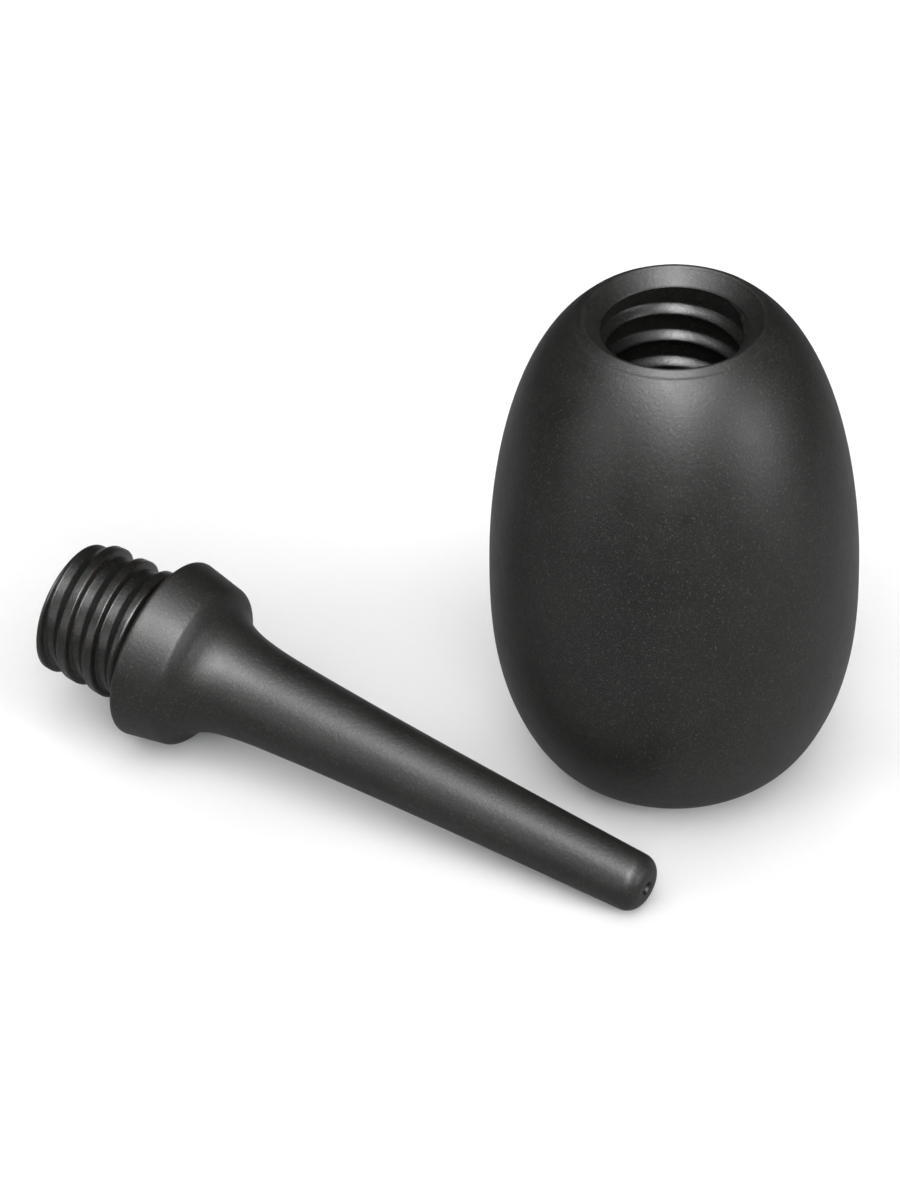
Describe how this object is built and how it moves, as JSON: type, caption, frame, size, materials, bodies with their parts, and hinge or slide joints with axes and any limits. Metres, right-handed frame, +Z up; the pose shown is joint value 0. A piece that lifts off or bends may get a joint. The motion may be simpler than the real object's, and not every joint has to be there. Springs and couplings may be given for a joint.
{
  "type": "dust blower bulb",
  "caption": "Egg-shaped rubber dust blower bulb with a threaded mouth, and its unscrewed tapering rubber nozzle lying beside it.",
  "frame": {"origin": "centre of the flat base that the bulb stands on", "axes": "+Z up along the bulb's axis, out of its mouth; +X along the lying nozzle in plan, from its threaded spigot towards its tip; -Y towards the nozzle's side of the bulb"},
  "size_m": [0.1169, 0.0779, 0.0813],
  "materials": {
    "bulb_rubber": "matte",
    "nozzle_rubber": "matte"
  },
  "bodies": {
    "bulb": {"bulb_body": "bulb_rubber"},
    "squeeze_wall": {"bulb_squeeze_wall": "bulb_rubber"},
    "nozzle": {"nozzle": "nozzle_rubber"}
  },
  "joints": [
    {"name": "bulb_squeeze", "type": "slide", "parent": "bulb", "child": "squeeze_wall", "axis": [-1, 0, 0], "range_m": [0, 0.009], "stiffness_N_per_m": 1800},
    {"name": "nozzle_turn", "type": "hinge", "parent": "bulb", "child": "nozzle", "pos_m": [-0.0878, -0.0354, 0.01646], "axis": [-0.9933, 0, 0.1151], "range_deg": [0, 1100]}
  ]
}
